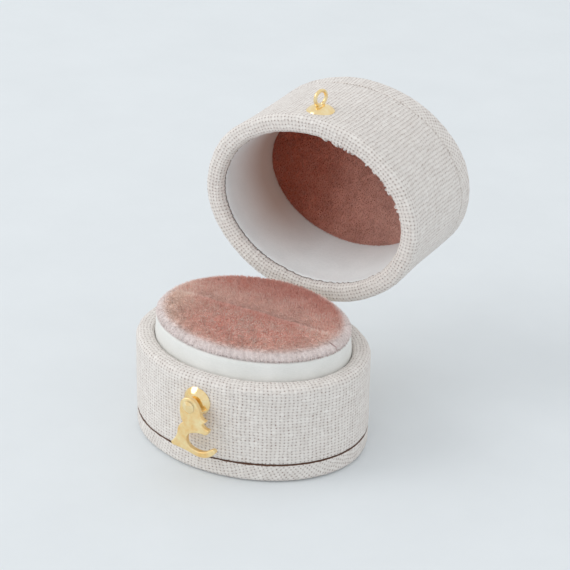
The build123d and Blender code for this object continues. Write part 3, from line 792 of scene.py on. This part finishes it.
def pad_height(x, y):
    """Top of the cushion above the collar, with its rolled lips at the slot."""
    rho = np.clip(np.sqrt((x / PAD_A) ** 2 + (y / PAD_B) ** 2), 0, 1)
    crown = 0.55 + 1.62 * (1 - rho ** 3.6) ** 0.5
    fade = np.clip((1 - (x / 13.2) ** 4), 0, 1)
    valley = 1.15 * np.clip(1 - np.abs(y) / 2.3, 0, 1) ** 2.2 * fade
    lump = 0.07 * np.sin(x * 0.55 + 1.0) * np.cos(y * 0.6) + 0.05 * np.sin(x * 1.1 - y * 0.9)
    return crown - valley + lump * (1 - rho ** 4)


def pad(side):
    """One half of the cushion: slot wall, rolled lip, crown, rounded edge and drawn-in side."""
    which = "front" if side < 0 else "rear"
    stations, fibres = 110, 26000
    theta = np.linspace(-pi / 2 + 0.02, pi / 2 - 0.02, stations)
    x = PAD_A * np.sin(theta)
    reach = PAD_B * np.cos(theta)
    gap = 0.12
    q = np.concatenate([np.linspace(0, 0.12, 9)[:-1], np.linspace(0.12, 0.75, 22)[:-1],
                        1 - 0.25 * np.linspace(1, 0, 18) ** 1.8])
    rows = []
    for xi, ri in zip(x, reach):
        ri = max(ri, gap + 0.02)
        y = gap + (ri - gap) * q
        z = pad_height(xi, y)
        wall = [(gap, v) for v in np.linspace(0, z[0] - 0.12, 5)]
        top = list(zip(y, np.maximum(z, 0.05)))
        fall = [(ri - 0.02, 0.42), (ri - 0.12, 0.24), (ri - 0.25, 0.08), (ri - 0.32, 0.0)]
        fall = [(max(a, gap), b) for a, b in fall]
        foot = [(gap + (fall[-1][0] - gap) * s, 0.0) for s in (0.75, 0.5, 0.25)]
        rows.append(np.array([(xi, side * a, COLLAR_TOP + b) for a, b in wall + top + fall + foot]))
    pts = np.array(rows)
    n, k, _ = pts.shape
    i, j = np.meshgrid(np.arange(n - 1), np.arange(k), indexing="ij")
    j2 = (j + 1) % k
    quads = [i * k + j, i * k + j2, (i + 1) * k + j2, (i + 1) * k + j]
    if side > 0:
        quads = quads[::-1]
    faces = np.stack(quads, -1).reshape(-1, 4)
    ob = make_mesh(f"velvet_cushion_{which}", pts.reshape(-1, 3), faces)
    close_ends(ob)
    for key, values in pad_marks(coordinates(ob), side).items():
        add_attribute(ob, key, values)
    dress(ob, VELVET, "base")
    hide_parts(f"cushion_velvet_{which}", f"cushion_foam_{which}")

    def shows(mid, normal):
        return (mid[:, 2] > COLLAR_TOP + 0.12) & (np.abs(mid[:, 1]) > gap + 0.02)
    points, normals = sample(ob, fibres, 100 + side, shows)
    clear = fold_weight(points) < 0.5
    points, normals = points[clear], normals[clear]
    outward = points * np.array([1 / PAD_A ** 2, 1 / PAD_B ** 2, 0])
    outward /= np.maximum(np.linalg.norm(outward, axis=1), 1e-9)[:, None]
    normals = normals * np.sign((normals * (outward + np.array([0, 0, 1.0]))).sum(1))[:, None]
    free = np.clip(np.abs(points[:, 1]) / 2.2, 0, 1)[:, None]
    lean = np.array([[0.55, -0.6, 0.0] if side < 0 else [0.15, -0.4, 0.0]]) * free
    grow_pile(f"velvet_pile_{which}", points, normals, pad_marks(points, side), 200 + side,
              length=0.66, width=0.072, lean=lean, material=PILE, body="base")


def pad_marks(points, side):
    """Painted tones of the cushion: painted sheen at the rolled edge, painted light towards the left end, painted sheen
    in grey-beige on the rear flank of the slot, painted shade on the front lip and behind, and painted shade in the
    fold and in the line under the edge."""
    x, y, z = points.T
    rho = np.sqrt((x / PAD_A) ** 2 + (y / PAD_B) ** 2)
    low = np.clip((COLLAR_TOP + 1.95 - z) / 0.8, 0, 1)
    # painted sheen on the rolled edge, where the pile is seen side-on
    edge = np.clip((rho - 0.86) / 0.08, 0, 1) * low * 0.95
    # painted light on the left end, where the lamp falls, paler towards the rim and a little on the right end
    wear_and_painted_light = 0.85 * np.clip((-x - 3.0) / 9.0, 0, 1) + 0.35 * np.clip((rho - 0.72) / 0.2, 0, 1)
    wear_and_painted_light = np.clip(wear_and_painted_light + 0.2 * np.clip((x - 6) / 7, 0, 1), 0, 0.9)
    along = np.arctan2(y / PAD_B, x / PAD_A) * 13.3
    # painted shadow under the overhanging pile on the collar's top, with painted shade in the fold
    under = 0.6 * np.clip((COLLAR_TOP + 0.24 - z) / 0.04, 0, 1)
    marks = {"edge": edge, "shade_line": np.maximum(fold_weight(points), under),
             "rib": 0.5 + 0.5 * np.sin(along * 8.5 + 2.5 * np.sin(along * 0.9))}
    if side < 0:
        # painted shade on the front lip beside the slot
        lip = np.clip(1.1 + y / 2.6, 0, 1) * np.clip((10.5 - np.abs(x)) / 3.0, 0, 1)
        return marks | {"wear_and_painted_light": wear_and_painted_light * (1 - lip), "painted_sheen": 0 * x, "shaded": 0.75 * lip}
    fade = np.clip(1.15 - np.abs(x / 12.5) ** 3, 0, 1)
    # painted sheen in grey-beige on the rear flank of the slot, and painted shade further back
    painted_sheen = np.clip(1.12 - y / (5.0 * fade + 0.2), 0, 1) ** 1.5 * fade
    shaded = np.clip((y - 1.0) / 7.0, 0, 1) * np.clip((1.02 - rho) / 0.1, 0, 1)
    wear_and_painted_light = 0.5 * wear_and_painted_light * (1 - fade * np.clip(y / 6, 0, 1))
    return marks | {"wear_and_painted_light": wear_and_painted_light, "painted_sheen": 0.9 * painted_sheen, "shaded": 0.6 * shaded}


def fold_weight(points):
    """The short seam where the velvet laps over itself at the right end."""
    x, y, z = points.T
    off = np.abs(np.arctan2(y / PAD_B, x / PAD_A) + 0.145 + 0.02 * np.sin(3 * z)) * 14.0
    return np.clip(1.4 - off / 0.14, 0, 1) * np.clip((np.hypot(x / PAD_A, y / PAD_B) - 0.92) / 0.03, 0, 1)


def close_ends(ob):
    """Fills the two tiny openings at a lofted pad's ends."""
    bm = bmesh.new()
    bm.from_mesh(ob.data)
    open_edges = [e for e in bm.edges if e.is_boundary]
    bmesh.ops.holes_fill(bm, edges=open_edges, sides=0)
    bmesh.ops.recalc_face_normals(bm, faces=bm.faces)
    for f in bm.faces:
        f.smooth = True
    bm.to_mesh(ob.data)
    bm.free()


def riser():
    """Foam block under the cushion, slightly barrelled."""
    inset = WALL + COLLAR + 0.12
    z = np.linspace(3.05, 17.05, 15)
    rows = [(inset + 0.25 * (2 * (v - 10) / 14) ** 4, v) for v in z]
    prof = [(14.0, 3.02)] + rows + [(14.0, 17.08)]
    ob = swept("foam_riser", with_length(prof), 160)
    dress(ob, FOAM, "base")
    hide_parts("cushion_riser")


def panel_marks(points):
    """Painted shade on the panel's left, where the lid's wall shades it, and painted light, paler, towards the right;
    the pile itself lies one way.
    """
    x = points[:, 0] - 0.25 * (points[:, 2] - 29.5)
    return {"painted_sheen": 0.7 * np.clip((x + 5.0) / 15.0, 0, 1), "shaded": 0.8 * np.clip((1.0 - x) / 11.0, 0, 1)}


def lid_panel():
    """Velvet panel in the top of the lid, a little domed, with its own pile."""
    n, rings, fibres = 200, 26, 40000
    t, _ = ring_angles(n)
    inset = LID_WALL + 0.86
    face = [1 - (1 - max(r / rings, 1e-4)) ** 1.25 for r in range(rings + 1)]
    levels = [(q, PANEL_LOW + 0.18 * q ** 10) for q in face]
    levels += [(1.0, PANEL_LOW + 0.3), (0.98, PANEL_HIGH), (0.5, PANEL_HIGH), (1e-4, PANEL_HIGH)]
    pts = np.concatenate([np.stack([q * (A - inset) * np.cos(t), q * (B - inset) * np.sin(t), np.full(n, z)], -1)
                          for q, z in levels])
    rows = len(levels)
    i, j = np.meshgrid(np.arange(n), np.arange(rows - 1), indexing="ij")
    i2 = (i + 1) % n
    faces = np.stack([j * n + i, (j + 1) * n + i, (j + 1) * n + i2, j * n + i2], -1).reshape(-1, 4)
    ob = make_mesh("velvet_lid_panel", open_lid(pts), faces)
    for key, values in panel_marks(coordinates(ob)).items():
        add_attribute(ob, key, values)
    dress(ob, DUSK, "lid")
    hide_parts("lid_pad_velvet")

    def shows(mid, normal):
        return closed_height(mid) < PANEL_LOW + 0.2
    points, _ = sample(ob, fibres, 301, shows)
    normals = np.tile([0.0, -sin(OPEN), -cos(OPEN)], (len(points), 1))
    grow_pile("velvet_lid_pile", points, normals, panel_marks(points), 302,
              length=0.36, width=0.06, lean=(0.2, 0.0, -0.5), material=DUSK_PILE, body="lid")


# --- clasp ------------------------------------------------------------------------------------------

def three_point(a, m, b, n):
    """Points of the arc from a through m to b, without the last."""
    ax, ay, bx, by, cx, cy = *a, *m, *b
    d = 2 * (ax * (by - cy) + bx * (cy - ay) + cx * (ay - by))
    ux = ((ax**2 + ay**2) * (by - cy) + (bx**2 + by**2) * (cy - ay) + (cx**2 + cy**2) * (ay - by)) / d
    uy = ((ax**2 + ay**2) * (cx - bx) + (bx**2 + by**2) * (ax - cx) + (cx**2 + cy**2) * (bx - ax)) / d
    r = hypot(ax - ux, ay - uy)
    a0, am, a1 = (atan2(p[1] - uy, p[0] - ux) for p in (a, m, b))
    turn = (a1 - a0) % (2 * pi)
    if (am - a0) % (2 * pi) > turn:
        turn -= 2 * pi
    return [(ux + r * cos(a0 + turn * i / n), uy + r * sin(a0 + turn * i / n)) for i in range(n)]


def hook_outline():
    """The hook hanging down, seen from the front about its rivet: head, barbs, bowl, arm and tail."""
    head = 1.45
    shoulder = (head * cos(radians(25)), head * sin(radians(25)))
    painted_sheen = (-head * cos(radians(8)), -head * sin(radians(8)))
    pts = three_point(painted_sheen, (0, head), shoulder, 28)
    pts += three_point(shoulder, (1.75, -0.15), (1.97, -0.9), 8)
    pts += three_point((1.97, -0.9), (2.3, -1.37), (2.85, -1.6), 8)
    pts += [(2.85, -1.6)]
    pts += three_point((2.12, -2.3), (2.6, -2.65), (3.3, -2.85), 8)
    pts += three_point((3.3, -2.85), (3.22, -3.4), (2.75, -3.75), 8)
    pts += three_point((2.75, -3.75), (1.6, -3.77), (0.45, -4.1), 10)
    pts += three_point((0.45, -4.1), (-0.37, -5.35), (0.82, -6.6), 26)
    pts += three_point((0.82, -6.6), (1.9, -6.75), (3.0, -6.4), 12)
    pts += [(3.0, -6.4)]
    pts += three_point((3.85, -5.8), (4.25, -5.8), (4.4, -6.25), 10)
    pts += three_point((4.4, -6.25), (3.2, -7.3), (1.0, -7.55), 20)
    pts += three_point((1.0, -7.55), (-0.7, -7.15), (-2.45, -6.95), 12)
    pts += three_point((-2.45, -6.95), (-2.9, -6.75), (-2.95, -6.4), 8)
    pts += three_point((-2.95, -6.4), (-2.2, -5.4), (-1.9, -4.2), 12)
    pts += three_point((-1.9, -4.2), (-1.6, -3.35), (-0.98, -2.72), 10)
    pts += three_point((-0.98, -2.72), (-1.42, -1.6), painted_sheen, 12)
    return pts


def hook():
    """Stamped hook with softly rounded edges, from a filled and bevelled outline."""
    bevel, bore = 0.16, 0.5
    curve = bpy.data.curves.new("hook_curve", "CURVE")
    curve.dimensions = "2D"
    curve.fill_mode = "BOTH"
    curve.extrude = (HOOK_THICKNESS / 2 - bevel) * MM
    curve.bevel_depth = bevel * MM
    curve.bevel_resolution = 3
    curve.offset = -bevel * MM
    hole = [(bore * cos(a), bore * sin(a)) for a in np.linspace(0, 2 * pi, 28, endpoint=False)]
    for outline in (hook_outline(), hole):
        spline = curve.splines.new("POLY")
        spline.points.add(len(outline) - 1)
        for point, (x, y) in zip(spline.points, outline):
            point.co = (x * MM, y * MM, 0, 1)
        spline.use_cyclic_u = True
    holder = bpy.data.objects.new("hook_holder", curve)
    bpy.context.scene.collection.objects.link(holder)
    bpy.context.view_layer.update()
    me = bpy.data.meshes.new_from_object(holder.evaluated_get(bpy.context.evaluated_depsgraph_get()))
    bpy.data.objects.remove(holder)
    place = (HOOK_X * MM, (FRONT - HOOK_STANDOFF - HOOK_THICKNESS / 2) * MM, HOOK_Z * MM)
    me.transform(Matrix.Translation(place) @ Matrix.Rotation(pi / 2, 4, "X"))
    ob = bpy.data.objects.new("scroll_hook", me)
    bpy.context.scene.collection.objects.link(ob)
    me.name = "scroll_hook"
    me.materials.clear()
    me.polygons.foreach_set("use_smooth", np.full(len(me.polygons), False))
    dress(ob, GOLD, "hook")
    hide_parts("clasp_hook")


# --- stage -------------------------------------------------------------------------------------------

def floor():
    """Pale floor that runs to the horizon."""
    g = Graph("floor")
    at = g.coords()
    g.set(Base_Color=g.ramp(g.noise(at, 60.0, 4, 0.6), [(0.3, srgb(228, 233, 236)), (0.7, srgb(231, 236, 239))]))
    g.set(Roughness=0.9, Specular_IOR_Level=0.1)
    me = bpy.data.meshes.new("floor")
    half = 4.0
    me.from_pydata([(-half, -half, 0), (half, -half, 0), (half, half, 0), (-half, half, 0)], [], [(0, 1, 2, 3)])
    ob = bpy.data.objects.new("floor", me)
    bpy.context.scene.collection.objects.link(ob)
    me.materials.append(g.mat)


def lights():
    """Soft sky all round and one large round lamp from the left."""
    world = bpy.data.worlds.new("soft")
    bpy.context.scene.world = world
    world.use_nodes = True
    back = world.node_tree.nodes["Background"]
    back.inputs[0].default_value = (0.97, 0.985, 1.0, 1)
    back.inputs[1].default_value = 0.86
    place, target = Vector((-0.73, -0.53, 0.63)), Vector((0, 0.005, 0.02))
    data = bpy.data.lights.new("key", "AREA")
    data.shape = "DISK"
    data.size = 0.75
    data.energy = 3.05
    data.color = (1.0, 0.99, 0.975)
    ob = bpy.data.objects.new("key", data)
    ob.location = place
    ob.rotation_euler = (target - place).to_track_quat("-Z", "Y").to_euler()
    bpy.context.scene.collection.objects.link(ob)


def camera():
    """The photograph's view, as fitted to its edges for a picture 570 pixels wide."""
    az, el, roll = radians(30.0), radians(26.71), radians(1.25)
    focal, width, sensor, distance = 2175.4, 570, 36, 366.547
    target = Vector((-19.189, 42.310, 0.72)) * MM
    back = Vector((sin(az) * cos(el), -cos(az) * cos(el), sin(el)))
    right0 = Vector((cos(az), sin(az), 0))
    up0 = back.cross(right0)
    right = cos(roll) * right0 + sin(roll) * up0
    up = -sin(roll) * right0 + cos(roll) * up0
    data = bpy.data.cameras.new("camera")
    data.lens = focal * sensor / width
    data.sensor_width = sensor
    data.clip_start = 0.01
    data.clip_end = 20
    ob = bpy.data.objects.new("camera", data)
    spin = Matrix((right, up, back)).transposed().to_4x4()
    ob.matrix_world = Matrix.Translation(target + back * distance * MM) @ spin
    bpy.context.scene.collection.objects.link(ob)
    bpy.context.scene.camera = ob


# --- build ---------------------------------------------------------------------------------------------

camera()
base_wall()
lid_wall()
plate("linen_base_plate", PLATE, False)
plate("linen_lid_plate", LID_PLATE, True)
collar()
lining()
riser()
for half in (-1, 1):
    pad(half)
lid_panel()
hook()
for node in ("base_plate_board", "base_wall_board", "collar_board", "cushion_card", "lid_plate_board",
             "lid_wall_board", "lid_pad_card"):
    redo(node, BOARD)
for node in ("hook_rosette", "hook_rivet", "eye_rosette", "eye_loop"):
    redo(node, POLISH)
for node in ("hinge_leaf_base", "hinge_leaf_lid", "hinge_pin", "hinge_nails_base", "hinge_nails_lid"):
    redo(node, GOLD)
floor()
lights()
bpy.context.scene.view_settings.view_transform = "Standard"
